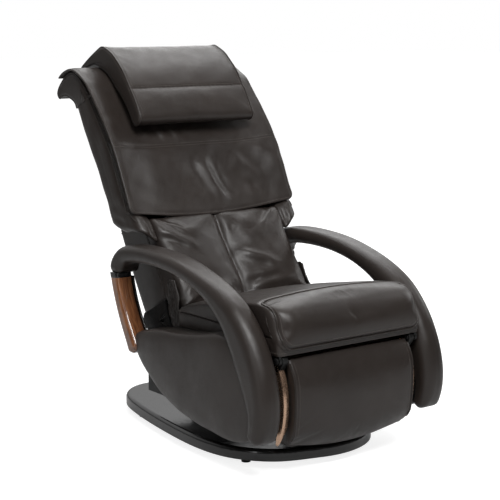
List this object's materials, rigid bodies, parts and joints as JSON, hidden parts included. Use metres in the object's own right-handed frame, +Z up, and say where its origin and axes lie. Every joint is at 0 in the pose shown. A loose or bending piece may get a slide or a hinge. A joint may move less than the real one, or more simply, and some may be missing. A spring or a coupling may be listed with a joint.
{
  "type": "massage chair",
  "caption": "Reclining massage chair on a swivelling oval base, with padded loop arms, wood accents, a head pillow and a calf pod that turns over below the seat.",
  "frame": {"origin": "on the floor, below the middle of the whole chair's box", "axes": "+Z up, the sitter faces -Y, +X is the sitter's left"},
  "size_m": [0.686, 1.0947, 1.1236],
  "materials": {
    "leather": "semi-gloss grained leather",
    "padding": "leather over foam",
    "wood": "clear gloss lacquer",
    "board": "raw plywood",
    "bronze": "gloss bronze lacquer",
    "base_shell": "satin",
    "plastic": "matt moulded",
    "nylon": "natural nylon",
    "steel_black": "black powder coat",
    "steel": "zinc plated",
    "aluminium": "cast",
    "rubber": "matt",
    "cloth": "woven lining"
  },
  "bodies": {
    "base": {"base_plate": "base_shell", "base_feet": "rubber", "swivel_spindle": "steel", "base_bolts": "steel", "thrust_bearing": "steel", "spindle_nut": "steel"},
    "chassis": {"swivel_hub": "steel_black", "hub_plate": "steel_black", "frame_rails": "steel_black", "front_uprights": "steel_black", "cross_tubes": "steel_black", "kick_panel": "plastic", "pivot_brackets": "steel_black", "recline_pins": "steel", "side_stand_offs": "steel_black", "seat_board": "board", "seat_apron": "leather", "seat_cushion": "padding", "arm_pad_left": "padding", "arm_pad_right": "padding", "wood_accents": "wood", "side_cover_left": "leather", "side_cover_right": "leather", "side_liners": "plastic", "side_plates": "steel_black", "leg_brackets": "steel_black", "leg_pins": "steel", "actuator_body": "plastic", "actuator_motor": "aluminium", "control_box": "plastic", "power_inlet": "plastic"},
    "backrest": {"back_side_tubes": "steel_black", "back_hinge_plates": "steel_black", "back_cross_bars": "steel_black", "actuator_bracket": "steel_black", "waist_shell": "leather", "waist_cushion": "padding", "back_wing_left": "padding", "back_wing_right": "padding", "head_roll": "padding", "back_rear_cover": "leather", "back_liner": "cloth", "back_pad": "padding", "back_clip": "plastic", "guide_rails": "steel"},
    "carriage": {"carriage_plate": "steel_black", "carriage_glides": "nylon", "carriage_motor": "aluminium"},
    "kneading_head": {"kneading_shaft": "steel", "roller_arms": "plastic", "massage_rollers": "nylon"},
    "pillow": {"head_pillow": "padding"},
    "actuator_rod": {"actuator_rod": "steel"},
    "leg_rest": {"leg_arcs": "bronze"},
    "calf_pod": {"pod_shell": "padding", "pod_front_pad": "padding", "calf_liners": "cloth", "pod_pivot_stubs": "steel"},
    "rocker": {"power_switch": "plastic"}
  },
  "joints": [
    {"name": "swivel", "type": "hinge", "parent": "base", "child": "chassis", "pos_m": [0, -0.058, 0.08], "axis": [0, 0, 1], "continuous": true},
    {"name": "recline", "type": "hinge", "parent": "chassis", "child": "backrest", "pos_m": [0, 0.042, 0.32], "axis": [-1, 0, 0], "range_deg": [0, 50]},
    {"name": "leg_lift", "type": "hinge", "parent": "chassis", "child": "leg_rest", "pos_m": [0, -0.496, 0.322], "axis": [-1, 0, 0], "range_deg": [0, 80]},
    {"name": "pod_turn", "type": "hinge", "parent": "leg_rest", "child": "calf_pod", "pos_m": [0, -0.456, 0.195], "axis": [1, 0, 0], "range_deg": [0, 180]},
    {"name": "pillow_lift", "type": "slide", "parent": "backrest", "child": "pillow", "axis": [0, 0.5, 0.866], "range_m": [0, 0.1]},
    {"name": "carriage_travel", "type": "slide", "parent": "backrest", "child": "carriage", "axis": [0, 0.5, 0.866], "range_m": [0, 0.42]},
    {"name": "kneading_tilt", "type": "hinge", "parent": "carriage", "child": "kneading_head", "pos_m": [0, 0.14311, 0.51912], "axis": [1, 0, 0], "range_deg": [-12, 12]},
    {"name": "rod_travel", "type": "slide", "parent": "chassis", "child": "actuator_rod", "axis": [0, -1, 0], "range_m": [0, 0.0762]},
    {"name": "switch_rock", "type": "hinge", "parent": "chassis", "child": "rocker", "pos_m": [-0.055, 0.106, 0.1478], "axis": [1, 0, 0], "range_deg": [-7, 7]}
  ],
  "couplings": [
    {"joint": "leg_lift", "follows": "recline", "ratio": 1.6},
    {"joint": "rod_travel", "follows": "recline", "m_per_rad": 0.08717}
  ]
}
